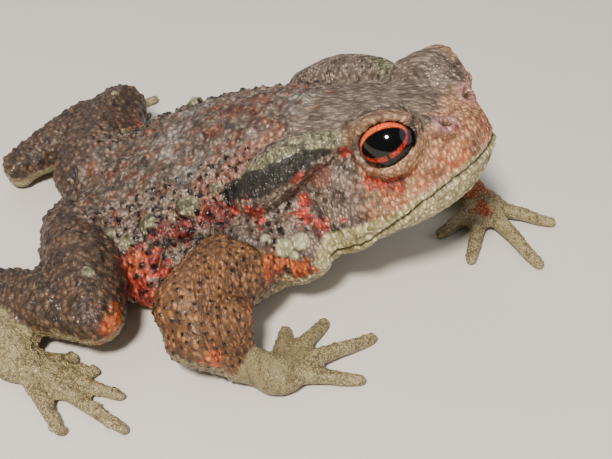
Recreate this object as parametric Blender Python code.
# Japanese common toad, life size, sitting with its head held up. Front is -Y, its left side is +X, +Z is up.
# Sizes are in millimetres in the design frame, whose origin is on the floor below the jaw joint; the last
# step turns them to metres and moves the origin to the middle of the footprint.
import math
import random

import bmesh
import bpy
from mathutils import Matrix, Vector
from mathutils.bvhtree import BVHTree

MM = 0.001
GAP = 0.35  # clearance that touching nodes keep at a cut
CLEARANCE = 0.65  # and where one lies against another
REST = 0.06  # height of the level cut that everything on the floor stands on
SLIVER = 0.003  # edges shorter than this are closed up
SIDES = {"left": 1, "right": -1}

# Carriage of the body
HEAD_PITCH = math.radians(21)  # the head and shoulders point up by this much
VENT_PITCH = math.radians(9.5)  # the hips lie flatter
JAW_HEIGHT = 27.0  # jaw joint above the floor
BEND_START = 30.0  # behind the jaw joint, where the back begins to level out
HEAD_TURN = math.radians(30)  # the head looks this far to the right of the way the body faces
TURN_SPAN = (2.0, 44.0)  # behind the jaw joint, where the trunk curves by this turn
HIPS = 72.0  # behind the jaw joint, the middle of the pelvis
VENT = 90.0  # jaw joint to vent
SNOUT = 34.2  # jaw joint to snout tip
NECK_CUT = 10.0  # where the head node ends

# Trunk sections: distance behind the jaw joint, half width, top, bottom, height of the widest level
SECTIONS = [
    (-SNOUT, 2.0, 9.6, -5.8, 7.6),
    (-33.6, 5.6, 12.4, -3.2, 7.0),
    (-32.2, 9.0, 14.2, 0.4, 5.4),
    (-30.0, 12.4, 15.6, 3.2, 3.8),
    (-26.4, 15.9, 17.4, 5.6, 2.4),
    (-21.2, 19.1, 19.2, 7.8, 1.0),
    (-14.0, 22.0, 20.6, 9.8, -0.6),
    (-6.0, 24.1, 21.4, 11.4, -2.6),
    (3.0, 25.4, 21.9, 14.4, -3.8),
    (12.0, 27.6, 22.9, 18.2, -4.6),
    (22.0, 31.4, 24.2, 19.4, -4.6),
    (34.0, 36.2, 24.6, 18.0, -3.8),
    (47.0, 38.6, 22.8, 13.6, -1.6),
    (59.0, 37.0, 20.6, 9.4, 1.0),
    (69.0, 31.5, 17.6, 5.6, 3.0),
    (78.0, 22.0, 14.0, 1.0, 4.6),
    (85.5, 11.0, 10.4, -3.0, 6.0),
    (VENT, 2.2, 8.0, -5.4, 6.7),
]
CROWN_POWER = 2.25  # superellipse power of the top of the head
BACK_POWER = 1.85  # and of the back
BELLY_POWER = 2.3  # and of the throat and belly

# Head, in the head frame: left, forward of the jaw joint, up from the mouth plane
EYE = (15.8, 18.6, 16.6)
EYE_RADIUS = 7.2
EYE_OUTWARD = (0.84, 0.30, 0.45)  # the way the eye looks
LID_HALF_ANGLES = (61, 43)  # half the opening between the lids, along and across
NOSTRIL = (6.8, 28.6, 15.2)
NOSTRIL_RADIUS = 1.15
EAR = (21.6, 0.2, 12.6)
EAR_RADII = (3.1, 4.4)  # half width and half height of the eardrum
MOUTH_LINE = [(44, 3.4), (33, 2.6), (21, 0.4), (12, -2.8), (3.5, -7.2), (-6, -10.5), (-24, -12.5)]  # forward, up

# Parotoid gland, as a path in the head frame with its half width
PAROTOID = [((17.6, 5.0, 18.2), 3.6), ((20.6, -2.0, 17.6), 5.6), ((23.6, -11.0, 16.4), 6.6), ((26.4, -20.0, 13.6), 5.2)]

# Legs, in the design frame, for the left side; each side has its own hand and elbow
ARMS = {
    "left": {
        "shoulder": (24.0, 19.0, 19.0),
        "elbow": (46.0, 17.5, 16.5),
        "wrist": (35.0, -14.0, 6.4),
        "palm": (31.0, -22.5, 4.0),
        "turn": 8,
        "spread": 1.0,
    },
    "right": {
        "shoulder": (-29.0, 15.5, 18.5),
        "elbow": (-56.0, 19.5, 18.0),
        "wrist": (-57.0, 6.5, 6.4),
        "palm": (-53.5, -1.5, 4.0),
        "turn": 28,
        "spread": 0.68,
    },
}
FINGERS = [  # angle inwards from straight ahead, reach from the palm's middle, half thickness at the knuckle
    (122, 17.5, 2.5),
    (86, 24.0, 2.4),
    (44, 28.5, 2.4),
    (-3, 21.0, 2.3),
]
HIP = (13.0, 10.0, 12.5)  # hind legs: left, back and up from the floor below the hips, for the left side
KNEE = (46.0, 2.0, 13.5)
ANKLE = (27.0, 31.0, 7.0)
SOLE = (50.0, 21.0, 4.4)
TOES = [  # angle outwards from straight ahead, reach from the sole, half thickness
    (-8, 14.0, 2.2),
    (9, 20.0, 2.1),
    (24, 29.0, 2.1),
    (39, 36.5, 2.1),
    (60, 26.0, 2.1),
]

# Large warts along each flank and behind the jaw: behind the jaw joint, to the side, up from the axis, radius
FLANK_WARTS = [
    (45.0, 24.0, 16.8, 2.9),
    (56.0, 26.5, 14.6, 2.7),
    (63.0, 29.0, 11.4, 2.6),
    (52.0, 35.0, 4.0, 1.9),
    (4.0, 30.0, 0.5, 2.3),
    (9.5, 31.0, 2.5, 2.5),
]
WART_RISE = 0.62  # height of a dome against its radius
SCATTER = {  # how many smaller warts a node carries, their radius and how far apart they keep
    "torso": (34, 1.6, 8.0),
    "head": (8, 1.1, 7.5),
    "upper_arm_left": (5, 1.1, 5.5),
    "upper_arm_right": (5, 1.1, 5.5),
    "forearm_left": (6, 1.1, 5.5),
    "forearm_right": (6, 1.1, 5.5),
    "thigh_left": (8, 1.4, 6.0),
    "thigh_right": (8, 1.4, 6.0),
    "shank_left": (5, 1.2, 6.5),
    "shank_right": (5, 1.2, 6.5),
}

# Triangles asked of each node
TRIANGLES = {
    "head": 2600,
    "torso": 2000,
    "arm": 1150,
    "upper_arm": 260,
    "thigh": 280,
    "shank": 220,
    "foot": 640,
    "parotoid": 240,
}

MATERIALS = {  # colour, roughness
    "skin_back": ((0.23, 0.17, 0.12), 0.55),
    "skin_pale": ((0.52, 0.46, 0.30), 0.5),
    "gland": ((0.30, 0.29, 0.17), 0.5),
    "eardrum": ((0.24, 0.13, 0.09), 0.45),
    "eye": ((0.45, 0.08, 0.02), 0.1),
}


def clear_scene():
    for thing in list(bpy.data.objects):
        bpy.data.objects.remove(thing)


def material(name):
    made = bpy.data.materials.get(name)
    if made is None:
        colour, roughness = MATERIALS[name]
        made = bpy.data.materials.new(name)
        made.use_nodes = True
        shader = made.node_tree.nodes["Principled BSDF"]
        shader.inputs["Base Color"].default_value = (*colour, 1)
        shader.inputs["Roughness"].default_value = roughness
        shader.inputs["Metallic"].default_value = 0
    return made


# Small curve tools
def smooth_through(keys, steps):
    """Rows of numbers, interpolated smoothly through the given rows, steps between each two."""
    rows = [tuple(k) for k in keys]
    padded = [rows[0], *rows, rows[-1]]
    out = []
    for a, b, c, d in zip(padded, padded[1:], padded[2:], padded[3:]):
        for i in range(steps):
            t = i / steps
            weights = (
                -0.5 * t + t * t - 0.5 * t**3,
                1 - 2.5 * t * t + 1.5 * t**3,
                0.5 * t + 2 * t * t - 1.5 * t**3,
                -0.5 * t * t + 0.5 * t**3,
            )
            out.append(tuple(sum(w * v[k] for w, v in zip(weights, (a, b, c, d))) for k in range(len(b))))
    out.append(rows[-1])
    return out


def carriage(s):
    """Pitch and turn of the trunk s behind the jaw joint."""
    level = min(max((s - BEND_START) / (VENT - BEND_START), 0), 1)
    turned = min(max((s - TURN_SPAN[0]) / (TURN_SPAN[1] - TURN_SPAN[0]), 0), 1)
    return HEAD_PITCH + (VENT_PITCH - HEAD_PITCH) * level, HEAD_TURN * turned


def spine(s):
    """Point of the trunk's axis s behind the jaw joint, with the ways left and up there."""
    steps = max(1, math.ceil(abs(s)))
    point = Vector((0, 0, JAW_HEIGHT))
    for i in range(steps):
        pitch, turn = carriage(s * (i + 0.5) / steps)
        back = Vector((-math.sin(turn) * math.cos(pitch), math.cos(turn) * math.cos(pitch), -math.sin(pitch)))
        point += back * s / steps
    pitch, turn = carriage(s)
    left = Vector((math.cos(turn), math.sin(turn), 0))
    up = Vector((-math.sin(turn) * math.sin(pitch), math.cos(turn) * math.sin(pitch), math.cos(pitch)))
    return point, left, up


def on_trunk(s, x, up):
    point, left, upward = spine(s)
    return point + left * x + upward * up


def beside_hips(left, back, height):
    """A point given from the floor below the hips, in the body's own directions."""
    middle = spine(HIPS)[0]
    middle.z = 0
    return middle + Matrix.Rotation(HEAD_TURN, 3, "Z") @ Vector((left, back, height))


def in_head(left, forward, up):
    return on_trunk(-forward, left, up)


def head_direction(left, forward, up):
    return (in_head(left, forward, up) - in_head(0, 0, 0)).normalized()


# Closed forms, each a bmesh operation on rings of points
def add_object(name, mesh):
    made = bpy.data.objects.new(name, mesh)
    bpy.context.scene.collection.objects.link(made)
    return made


def loft(name, rings):
    """A closed skin over rings of equally many points; its ends are drawn in to a point."""
    bm = bmesh.new()
    loops = [[bm.verts.new(p) for p in ring] for ring in rings]
    count = len(rings[0])
    for one, two in zip(loops, loops[1:]):
        for i in range(count):
            bm.faces.new((one[i], one[(i + 1) % count], two[(i + 1) % count], two[i]))
    for loop, flip in ((loops[0], True), (loops[-1], False)):
        tip = bm.verts.new(sum((v.co for v in loop), Vector()) / count)
        for i in range(count):
            corners = (loop[i], loop[(i + 1) % count], tip)
            bm.faces.new(corners[::-1] if flip else corners)
    bmesh.ops.recalc_face_normals(bm, faces=bm.faces)
    mesh = bpy.data.meshes.new(name)
    bm.to_mesh(mesh)
    bm.free()
    return add_object(name, mesh)


def trunk_form():
    """Head and body in one loft, from the snout to the vent."""
    rings = []
    for s, width, top, bottom, level in smooth_through(SECTIONS, 4):
        ring = []
        middle, left, upright = spine(s)
        for i in range(48):
            angle = 2 * math.pi * i / 48
            across = math.cos(angle)
            upward = math.sin(angle)
            roof = CROWN_POWER + (BACK_POWER - CROWN_POWER) * min(max(s / 40, 0), 1)
            power = 2 / (roof if upward >= 0 else BELLY_POWER)
            height = (top - level) if upward >= 0 else (bottom + level)
            x = width * math.copysign(abs(across) ** power, across)
            up = level + height * math.copysign(abs(upward) ** power, upward)
            ring.append(middle + left * x + upright * up)
        rings.append(ring)
    return loft("trunk", rings)


def tube(name, keys, sides=14, steps=5, flat=1.0, floor=None):
    """A round, tapering limb along points with radii, with rounded ends. flat squeezes it in height."""
    rows = smooth_through([(*p, r) for p, r in keys], steps)
    points = [Vector(r[:3]) for r in rows]
    radii = [r[3] for r in rows]
    heading_in = (points[0] - points[1]).normalized()
    heading_out = (points[-1] - points[-2]).normalized()
    rounded = [(math.sin(a), math.cos(a)) for a in (1.25, 0.8, 0.4)]
    start = [(points[0] + heading_in * radii[0] * ahead, radii[0] * wide) for ahead, wide in rounded]
    end = [(points[-1] + heading_out * radii[-1] * ahead, radii[-1] * wide) for ahead, wide in rounded[::-1]]
    stations = start + list(zip(points, radii)) + end
    rings = []
    normal = None
    for i, (centre, radius) in enumerate(stations):
        before = stations[max(i - 1, 0)][0]
        after = stations[min(i + 1, len(stations) - 1)][0]
        along = (after - before).normalized()
        if normal is None:
            normal = along.orthogonal().normalized()
        normal = (normal - along * normal.dot(along)).normalized()
        binormal = along.cross(normal)
        ring = []
        for k in range(sides):
            angle = 2 * math.pi * k / sides
            offset = radius * (math.cos(angle) * normal + math.sin(angle) * binormal)
            offset.z *= flat
            point = centre + offset
            if floor is not None:
                point.z = max(point.z, floor)
            ring.append(point)
        rings.append(ring)
    return loft(name, rings)


def ball(name, centre, radii, turn=None, segments=20, rings=12):
    """An ellipsoid; turn is its rotation matrix."""
    bm = bmesh.new()
    bmesh.ops.create_uvsphere(bm, u_segments=segments, v_segments=rings, radius=1)
    shape = Matrix.Diagonal((*radii, 1))
    bmesh.ops.transform(bm, matrix=Matrix.Translation(centre) @ (turn or Matrix()) @ shape, verts=bm.verts)
    mesh = bpy.data.meshes.new(name)
    bm.to_mesh(mesh)
    bm.free()
    return add_object(name, mesh)


def head_turn():
    return Matrix.Rotation(-HEAD_PITCH, 4, "X")


# Joining, thinning and cutting
def evaluated_mesh(thing):
    bpy.context.view_layer.update()
    graph = bpy.context.evaluated_depsgraph_get()
    return bpy.data.meshes.new_from_object(thing.evaluated_get(graph))


def apply_modifiers(thing):
    mesh = evaluated_mesh(thing)
    thing.modifiers.clear()
    thing.data = mesh


def copy_of(thing, name):
    return add_object(name, thing.data.copy())


def joined(name, pieces):
    bm = bmesh.new()
    for piece in pieces:
        bm.from_mesh(piece.data)
        bpy.data.objects.remove(piece)
    mesh = bpy.data.meshes.new(name)
    bm.to_mesh(mesh)
    bm.free()
    return add_object(name, mesh)


def fused(name, pieces, voxel, rounds):
    """The pieces as one body, with the creases where they meet softened."""
    thing = joined(name, pieces)
    remesh = thing.modifiers.new("remesh", "REMESH")
    remesh.mode = "VOXEL"
    remesh.voxel_size = voxel
    smooth = thing.modifiers.new("smooth", "SMOOTH")
    smooth.factor = 0.5
    smooth.iterations = rounds
    apply_modifiers(thing)
    return thing


def thinned(thing, triangles):
    count = sum(len(p.vertices) - 2 for p in thing.data.polygons)
    decimate = thing.modifiers.new("decimate", "DECIMATE")
    decimate.ratio = min(1.0, triangles / count)
    decimate.use_collapse_triangulate = True
    apply_modifiers(thing)
    return thing


def boolean(thing, other, operation="DIFFERENCE"):
    step = thing.modifiers.new("boolean", "BOOLEAN")
    step.operation = operation
    step.solver = "MANIFOLD"
    step.object = other
    apply_modifiers(thing)
    bpy.data.objects.remove(other)
    return thing


def block_beyond(point, normal, size=400.0):
    """A large block that fills the side of a plane its normal points to."""
    bm = bmesh.new()
    bmesh.ops.create_cube(bm, size=size)
    turn = Vector(normal).normalized().to_track_quat("Z", "Y").to_matrix().to_4x4()
    place = Matrix.Translation(Vector(point)) @ turn @ Matrix.Translation((0, 0, size / 2))
    bmesh.ops.transform(bm, matrix=place, verts=bm.verts)
    mesh = bpy.data.meshes.new("block")
    bm.to_mesh(mesh)
    bm.free()
    return add_object("block", mesh)


def cut_beyond(thing, point, normal, gap=GAP):
    """Takes away what lies beyond a plane, less half the gap."""
    normal = Vector(normal).normalized()
    return boolean(thing, block_beyond(Vector(point) - normal * gap / 2, normal))


def swollen(thing, amount):
    """A copy grown outwards by amount, to cut a neighbour back with."""
    grown = copy_of(thing, thing.name + "_swollen")
    bm = bmesh.new()
    bm.from_mesh(grown.data)
    bm.normal_update()
    shifts = [v.normal * amount * v.calc_shell_factor() for v in bm.verts]
    for vertex, shift in zip(bm.verts, shifts):
        vertex.co += shift
    bm.to_mesh(grown.data)
    bm.free()
    return grown


def kept_clear(thing, *others):
    for other in others:
        boolean(thing, swollen(other, CLEARANCE))
    return largest_body(thing)


def drop_flaps(bm):
    """Takes out slivers and folds of no thickness that a cut can leave."""
    for _ in range(3):
        bmesh.ops.dissolve_degenerate(bm, edges=bm.edges, dist=SLIVER)
        bmesh.ops.triangulate(bm, faces=bm.faces)
        seen = {}
        for face in bm.faces:
            seen.setdefault(frozenset(v.index for v in face.verts), []).append(face)
        doubled = [face for faces in seen.values() if len(faces) > 1 for face in faces]
        torn = [edge for edge in bm.edges if len(edge.link_faces) != 2]
        if not doubled and not torn:
            break
        bmesh.ops.delete(bm, geom=doubled, context="FACES")
        pinched = {edge for edge in bm.edges if len(edge.link_faces) > 2}
        bmesh.ops.collapse(bm, edges=list(pinched), uvs=False)
        bmesh.ops.holes_fill(bm, edges=[edge for edge in bm.edges if len(edge.link_faces) == 1], sides=0)
        bmesh.ops.triangulate(bm, faces=bm.faces)
        bm.verts.index_update()


def largest_body(thing):
    """Drops every closed surface but the one with the most volume."""
    bm = bmesh.new()
    bm.from_mesh(thing.data)
    bmesh.ops.triangulate(bm, faces=bm.faces)
    drop_flaps(bm)
    unseen = set(bm.faces)
    bodies = []
    while unseen:
        seed = unseen.pop()
        body = [seed]
        queue = [seed]
        while queue:
            face = queue.pop()
            for edge in face.edges:
                for near in edge.link_faces:
                    if near in unseen:
                        unseen.remove(near)
                        body.append(near)
                        queue.append(near)
        volume = sum(f.verts[0].co.dot(f.verts[1].co.cross(f.verts[2].co)) for f in body) / 6
        bodies.append((volume, len(bodies), body))
    keep = set(max(bodies)[2])
    bmesh.ops.delete(bm, geom=[f for f in bm.faces if f not in keep], context="FACES")
    bmesh.ops.delete(bm, geom=[e for e in bm.edges if not e.link_faces], context="EDGES")
    bmesh.ops.delete(bm, geom=[v for v in bm.verts if not v.link_edges], context="VERTS")
    bm.to_mesh(thing.data)
    bm.free()
    return thing


def stood_on_floor(thing, height=0.0):
    return boolean(thing, block_beyond((0, 0, height), (0, 0, -1)))


def finished(thing, name, material_name):
    if min(v.co.z for v in thing.data.vertices) < REST:
        stood_on_floor(thing, REST)
    largest_body(thing)
    thing.name = name
    thing.data.name = name
    thing.data.materials.clear()
    thing.data.materials.append(material(material_name))
    thing.data.shade_smooth()
    thing.data.set_sharp_from_angle(angle=math.radians(50))
    return thing


# Head and body
def lid_rim(side):
    """The swollen edge of both lids, an almond round the eye."""
    centre = in_head(EYE[0] * SIDES[side], EYE[1], EYE[2])
    outward = head_direction(EYE_OUTWARD[0] * SIDES[side], EYE_OUTWARD[1], EYE_OUTWARD[2])
    along = (head_direction(0, 1, 0) - outward * head_direction(0, 1, 0).dot(outward)).normalized()
    across = outward.cross(along)
    keys = []
    for i in range(17):
        turn = 2 * math.pi * i / 16
        wide, tall = (math.radians(a) for a in LID_HALF_ANGLES)
        spread = math.hypot(wide * math.cos(turn), tall * math.sin(turn))
        aside = math.cos(turn) * wide * along + math.sin(turn) * tall * across
        direction = math.cos(spread) * outward + math.sin(spread) * aside.normalized()
        keys.append((centre + direction * (EYE_RADIUS + 0.1), 1.15))
    return tube("lid_rim", keys, sides=10, steps=2)


def lid_dome(side):
    """The raised socket and upper lid that carries the eye above the flat of the head."""
    sign = SIDES[side]
    return ball("lid_dome", in_head(14.2 * sign, 17.6, 17.4), (7.6, 9.6, 8.4), head_turn())


def brow_ridge(side):
    """The canthus, from the front of the lid to the nostril."""
    sign = SIDES[side]
    keys = [
        (in_head(14.6 * sign, 11.0, 20.2), 4.0),
        (in_head(12.0 * sign, 22.5, 18.0), 3.4),
        (in_head(6.6 * sign, 28.8, 13.4), 2.7),
    ]
    return tube("brow_ridge", keys)


def cheek(side):
    sign = SIDES[side]
    return ball("cheek", in_head(20.6 * sign, 2.0, -3.0), (5.2, 9.5, 7.0), head_turn())


def lip_rim(side):
    """The thick edge of the upper lip."""
    sign = SIDES[side]
    keys = []
    for width, forward in ((3.6, 32.8), (9.2, 31.0), (14.8, 26.6), (18.8, 20.4), (21.8, 12.0), (23.8, 4.0)):
        rise = [u for f, u in smooth_through(MOUTH_LINE, 6) if f <= forward][0]
        keys.append((in_head(width * sign, forward, rise + 1.7), 1.8))
    return tube("lip_rim", keys, sides=10, steps=4)


def shoulder_swell(side):
    return ball("shoulder", on_trunk(17.0, 25.5 * SIDES[side], -2.0), (8.5, 13.0, 11.0))


def hip_swell(side):
    turn = Matrix.Rotation(HEAD_TURN, 4, "Z")
    return ball("hip", beside_hips(15.0 * SIDES[side], 4.0, 12.0), (12.0, 13.0, 9.5), turn)


def trunk():
    pieces = [trunk_form()]
    for side in SIDES:
        pieces += [lid_dome(side), lid_rim(side), brow_ridge(side), cheek(side), lip_rim(side)]
        pieces += [shoulder_swell(side), hip_swell(side)]
    return fused("trunk", pieces, voxel=0.75, rounds=4)


def eye_place(side):
    return in_head(EYE[0] * SIDES[side], EYE[1], EYE[2])


def ear_frame(side):
    """Matrix whose Z points out of the eardrum, with its long way up."""
    sign = SIDES[side]
    outward = head_direction(0.93 * sign, 0.05, 0.30)
    upward = head_direction(0, 0.12, 1)
    sideways = upward.cross(outward).normalized()
    upward = outward.cross(sideways)
    turn = Matrix((sideways, upward, outward)).transposed().to_4x4()
    return Matrix.Translation(in_head(EAR[0] * sign, EAR[1], EAR[2])) @ turn


def disc(name, place, radii, low, high, sides=14):
    """A short oval drum from low to high along the frame's Z, with a slightly domed top."""
    rings = []
    for share, height in ((1.0, low), (1.0, high), (0.6, high + 0.25 * (high - low))):
        ring = []
        for i in range(sides):
            angle = 2 * math.pi * i / sides
            x = radii[0] * share * math.cos(angle)
            y = radii[1] * share * math.sin(angle)
            ring.append(place @ Vector((x, y, height)))
        rings.append(ring)
    return loft(name, rings)


def jaw_block(lift):
    """All that lies below the line of the mouth, raised by lift."""
    rows = smooth_through(MOUTH_LINE, 4)
    half = 60.0
    depth = 60.0
    bm = bmesh.new()
    edges = []
    for sign in (-1, 1):
        upper = [bm.verts.new(in_head(sign * half, f, u + lift)) for f, u in rows]
        lower = [bm.verts.new(in_head(sign * half, f, u - depth)) for f, u in rows]
        edges.append((upper, lower))
    (a_up, a_low), (b_up, b_low) = edges
    for i in range(len(rows) - 1):
        bm.faces.new((a_up[i], a_up[i + 1], b_up[i + 1], b_up[i]))
        bm.faces.new((a_low[i], a_low[i + 1], b_low[i + 1], b_low[i]))
        bm.faces.new((a_up[i], a_up[i + 1], a_low[i + 1], a_low[i]))
        bm.faces.new((b_up[i], b_up[i + 1], b_low[i + 1], b_low[i]))
    for end in (0, -1):
        bm.faces.new((a_up[end], b_up[end], b_low[end], a_low[end]))
    bmesh.ops.recalc_face_normals(bm, faces=bm.faces)
    mesh = bpy.data.meshes.new("jaw_block")
    bm.to_mesh(mesh)
    bm.free()
    return add_object("jaw_block", mesh)


def make_trunk_nodes():
    whole = stood_on_floor(trunk())
    neck_point, neck_left, neck_up = spine(NECK_CUT)
    neck_back = neck_up.cross(neck_left)

    front = thinned(copy_of(whole, "front"), TRIANGLES["head"] * 1.6)
    cut_beyond(front, neck_point, neck_back)
    for side in SIDES:
        radius = EYE_RADIUS + GAP
        boolean(front, ball("socket", eye_place(side), (radius,) * 3))
        recess = disc("recess", ear_frame(side), tuple(r + GAP for r in EAR_RADII), -2.2, 6.0)
        boolean(front, recess)
        nostril = in_head(NOSTRIL[0] * SIDES[side], NOSTRIL[1], NOSTRIL[2])
        boolean(front, ball("nostril", nostril, (NOSTRIL_RADIUS,) * 3, segments=8, rings=6))
    jaw = copy_of(front, "jaw")
    boolean(jaw, jaw_block(-GAP / 2), "INTERSECT")
    boolean(front, jaw_block(GAP / 2))
    finished(front, "head", "skin_back")
    finished(jaw, "lower_jaw", "skin_pale")

    rear = thinned(copy_of(whole, "rear"), TRIANGLES["torso"] * 1.35)
    cut_beyond(rear, neck_point, -neck_back)
    finished(rear, "torso", "skin_back")

    for side in SIDES:
        eye = ball("eye_" + side, eye_place(side), (EYE_RADIUS,) * 3, segments=16, rings=10)
        finished(eye, "eye_" + side, "eye")
        drum = disc("drum", ear_frame(side), EAR_RADII, -2.2 + GAP, -0.5)
        finished(drum, "tympanum_" + side, "eardrum")
    bpy.data.objects.remove(whole)
    return front, jaw, rear


def make_parotoid(side, neighbours):
    keys = [(in_head(p[0] * SIDES[side], p[1], p[2]), r) for p, r in PAROTOID]
    gland = fused("gland", [tube("gland", keys)], voxel=0.7, rounds=3)
    thinned(gland, TRIANGLES["parotoid"])
    kept_clear(gland, *neighbours)
    thinned(gland, TRIANGLES["parotoid"])
    return finished(gland, "parotoid_" + side, "gland")


# Arms and hands
def palm_form(palm, heading):
    turn = Matrix.Rotation(math.atan2(heading.x, -heading.y), 4, "Z")
    return ball("palm", (palm.x, palm.y, 3.4), (6.4, 6.8, 3.9), turn)


def floor_way(angle):
    """The way along the floor that is turned by angle to the left of straight ahead of the head."""
    return Vector((math.sin(angle), -math.cos(angle), 0))


def digit(name, root, angle, reach, radius, sag):
    """A finger or toe laid along the floor: its knuckle lifts a little and its tip is round."""
    way = floor_way(angle)
    keys = []
    for share, lift, swell in (
        (0.12, 3.4, 1.15),
        (0.34, sag + radius * 0.9, 1.0),
        (0.58, sag + radius * 0.72, 0.86),
        (0.78, radius * 0.66, 0.80),
        (0.94, radius * 0.62, 0.72),
    ):
        spot = Vector((root.x, root.y, 0)) + way * reach * share
        keys.append(((spot.x, spot.y, lift), radius * swell))
    return tube(name, keys, sides=12, steps=4)


def make_arm(side, neighbours):
    sign = SIDES[side]
    data = ARMS[side]
    shoulder = Vector(data["shoulder"])
    elbow = Vector(data["elbow"])
    wrist = Vector(data["wrist"])
    palm = Vector(data["palm"])
    upper = tube(
        "upper",
        [(shoulder, 9.4), (shoulder.lerp(elbow, 0.5), 10.2), (elbow, 9.2)],
    )
    fore = tube(
        "fore",
        [
            (elbow, 8.8),
            (elbow.lerp(wrist, 0.25), 11.3),
            (elbow.lerp(wrist, 0.52), 10.4),
            (elbow.lerp(wrist, 0.8), 7.0),
            (wrist, 4.8),
        ],
    )
    hand = tube("heel", [(wrist, 4.6), (Vector((palm.x, palm.y, 3.8)), 4.2)])
    pieces = [upper, fore, hand, palm_form(palm, palm - wrist)]
    for angle, reach, radius in FINGERS:
        turned = math.radians(data["turn"] - sign * angle * data["spread"])
        pieces.append(digit("finger", palm, turned, reach, radius, 0.9))
    arm = stood_on_floor(fused("arm", pieces, voxel=0.5, rounds=4))
    thinned(arm, TRIANGLES["arm"])
    elbow_way = (elbow - shoulder).normalized() + (wrist - elbow).normalized()
    wrist_way = (wrist - elbow).normalized() + (palm - wrist).normalized()
    upper_node = copy_of(arm, "upper_arm")
    cut_beyond(upper_node, elbow, elbow_way)
    kept_clear(upper_node, *neighbours)
    thinned(upper_node, TRIANGLES["upper_arm"])
    forearm = copy_of(arm, "forearm")
    cut_beyond(forearm, elbow, -elbow_way)
    cut_beyond(forearm, wrist, wrist_way)
    kept_clear(forearm, *neighbours)
    cut_beyond(arm, wrist, -wrist_way)
    finished(upper_node, "upper_arm_" + side, "skin_back")
    finished(forearm, "forearm_" + side, "skin_back")
    finished(arm, "hand_" + side, "skin_pale")
    return upper_node, forearm, arm


# Hind legs and feet
def web_form(name, root, first, second, share):
    """Skin between two toes, a thin wedge that ends short of their tips."""
    bm = bmesh.new()
    ways = [floor_way(angle) * reach for angle, reach in (first, second)]
    base = Vector((root.x, root.y, 0))
    outline = [base, base + ways[0] * share, base + (ways[0] + ways[1]) * 0.5 * share * 0.82, base + ways[1] * share]
    for height in (0.3, 1.7):
        for spot in outline:
            bm.verts.new((spot.x, spot.y, height))
    bm.verts.ensure_lookup_table()
    bm.faces.new(bm.verts[:4])
    bm.faces.new(bm.verts[4:])
    for i in range(4):
        j = (i + 1) % 4
        bm.faces.new((bm.verts[i], bm.verts[j], bm.verts[4 + j], bm.verts[4 + i]))
    bmesh.ops.recalc_face_normals(bm, faces=bm.faces)
    mesh = bpy.data.meshes.new(name)
    bm.to_mesh(mesh)
    bm.free()
    return add_object(name, mesh)


def make_leg(side, neighbours):
    sign = SIDES[side]
    hip, knee, ankle, sole = (beside_hips(p[0] * sign, p[1], p[2]) for p in (HIP, KNEE, ANKLE, SOLE))
    thigh_keys = [(hip, 9.0), (hip.lerp(knee, 0.4), 10.4), (hip.lerp(knee, 0.75), 9.6), (knee, 7.6)]
    thigh = fused("thigh", [tube("thigh", thigh_keys)], voxel=1.0, rounds=2)
    stood_on_floor(thigh)
    kept_clear(thigh, *neighbours)
    thinned(thigh, TRIANGLES["thigh"])

    shank_keys = [(knee + Vector((0, 0, -1.0)), 7.2), (knee.lerp(ankle, 0.35), 8.0)]
    shank_keys += [(knee.lerp(ankle, 0.7), 6.6), (ankle, 5.0)]
    shank = fused("shank", [tube("shank", shank_keys)], voxel=0.9, rounds=2)
    stood_on_floor(shank)
    kept_clear(shank, thigh, *neighbours)
    thinned(shank, TRIANGLES["shank"])

    heel_keys = [(ankle + Vector((0, 0, -2.0)), 4.8), (ankle.lerp(sole, 0.5), 4.6), (sole, 4.6)]
    pieces = [tube("tarsus", heel_keys), ball("sole", (sole.x, sole.y, 3.0), (6.2, 7.4, 3.6))]
    spread = [(HEAD_TURN + sign * math.radians(angle), reach) for angle, reach, _ in TOES]
    for (angle, reach), (_, _, radius) in zip(spread, TOES):
        pieces.append(digit("toe", sole, angle, reach, radius, 0.5))
    for first, second in zip(spread, spread[1:]):
        pieces.append(web_form("web", sole, first, second, 0.55))
    foot = stood_on_floor(fused("foot", pieces, voxel=0.45, rounds=3))
    thinned(foot, TRIANGLES["foot"])
    kept_clear(foot, shank, thigh, *neighbours)
    finished(thigh, "thigh_" + side, "skin_back")
    finished(shank, "shank_" + side, "skin_back")
    finished(foot, "foot_" + side, "skin_pale")


# Warts
def surface_of(thing):
    return BVHTree.FromPolygons([v.co for v in thing.data.vertices], [p.vertices for p in thing.data.polygons])


def wart_spots(node, count, radius, spacing):
    """Seeded places on the upper side of a node, apart from each other and clear of the other nodes."""
    others = [surface_of(o) for o in bpy.data.objects if o != node]
    spots = []
    for face in random.sample(list(node.data.polygons), len(node.data.polygons)):
        if len(spots) == count:
            break
        centre = face.center.copy()
        if face.normal.z < 0.12 or centre.z < 4 + radius:
            continue
        if any((centre - spot).length < spacing for spot, _, _ in spots):
            continue
        if any(tree.find_nearest(centre, radius + CLEARANCE)[0] for tree in others):
            continue
        spots.append((centre, face.normal.copy(), radius * random.uniform(0.85, 1.2)))
    return spots


def flank_wart_spots(torso):
    tree = surface_of(torso)
    others = [surface_of(o) for o in bpy.data.objects if o != torso]
    spots = []
    for sign in SIDES.values():
        for s, aside, up, radius in FLANK_WARTS:
            centre, normal, _, _ = tree.find_nearest(on_trunk(s, aside * sign, up))
            if not any(other.find_nearest(centre, radius + CLEARANCE)[0] for other in others):
                spots.append((centre, normal, radius))
    return spots


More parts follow.
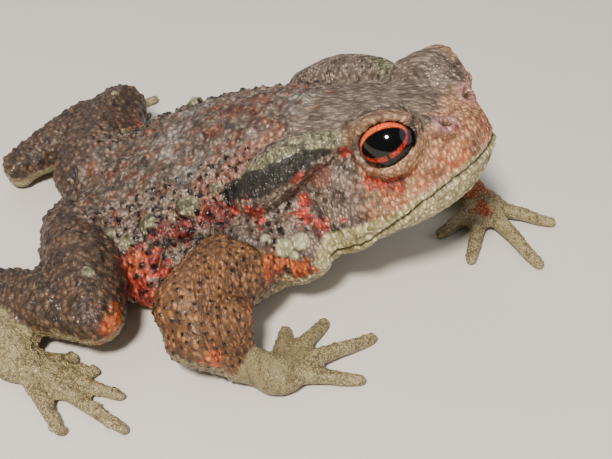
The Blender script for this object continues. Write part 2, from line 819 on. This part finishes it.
def warted(node, spots):
    """The node with a dome at each spot, its root sunk in the skin."""
    domes = bpy.data.collections.new("domes")
    bpy.context.scene.collection.children.link(domes)
    for centre, normal, radius in spots:
        turn = normal.to_track_quat("Z", "Y").to_matrix().to_4x4()
        dome = ball("dome", centre - normal * radius * 0.2, (radius, radius, radius * WART_RISE), turn, 7, 4)
        bpy.context.scene.collection.objects.unlink(dome)
        domes.objects.link(dome)
    step = node.modifiers.new("warts", "BOOLEAN")
    step.operation = "UNION"
    step.solver = "MANIFOLD"
    step.operand_type = "COLLECTION"
    step.collection = domes
    apply_modifiers(node)
    for dome in list(domes.objects):
        bpy.data.objects.remove(dome)
    bpy.data.collections.remove(domes)
    largest_body(node)
    node.data.shade_smooth()
    node.data.set_sharp_from_angle(angle=math.radians(50))


def add_warts():
    for name, (count, radius, spacing) in SCATTER.items():
        node = bpy.data.objects[name]
        spots = flank_wart_spots(node) if name == "torso" else []
        taken = [spot for spot, _, _ in spots]
        for spot in wart_spots(node, count, radius, spacing):
            if all((spot[0] - other).length > spacing for other in taken):
                spots.append(spot)
        warted(node, spots)


def to_metres_at_footprint():
    """Moves the origin to the middle of the footprint, on the floor, and turns millimetres to metres."""
    nodes = [o for o in bpy.data.objects if o.type == "MESH"]
    for node in nodes:
        node.data.transform(Matrix.Rotation(-HEAD_TURN, 4, "Z"))
    points = [v.co for o in nodes for v in o.data.vertices]
    low = [min(p[k] for p in points) for k in range(3)]
    high = [max(p[k] for p in points) for k in range(3)]
    middle = Vector(((low[0] + high[0]) / 2, (low[1] + high[1]) / 2, low[2]))
    place = Matrix.Scale(MM, 4) @ Matrix.Translation(-middle)
    for node in nodes:
        node.data.transform(place)
    print("origin in the design frame, mm:", [round(v, 3) for v in middle])


def main():
    random.seed(5)
    clear_scene()
    head, jaw, torso = make_trunk_nodes()
    for side in SIDES:
        gland = make_parotoid(side, [head, torso, bpy.data.objects["tympanum_" + side]])
        arm = make_arm(side, [torso, jaw, head, gland])
        make_leg(side, [torso, *arm])
    add_warts()
    to_metres_at_footprint()
    for node in sorted(bpy.data.objects, key=lambda o: o.name):
        print(node.name, len(node.data.polygons), "triangles")


main()
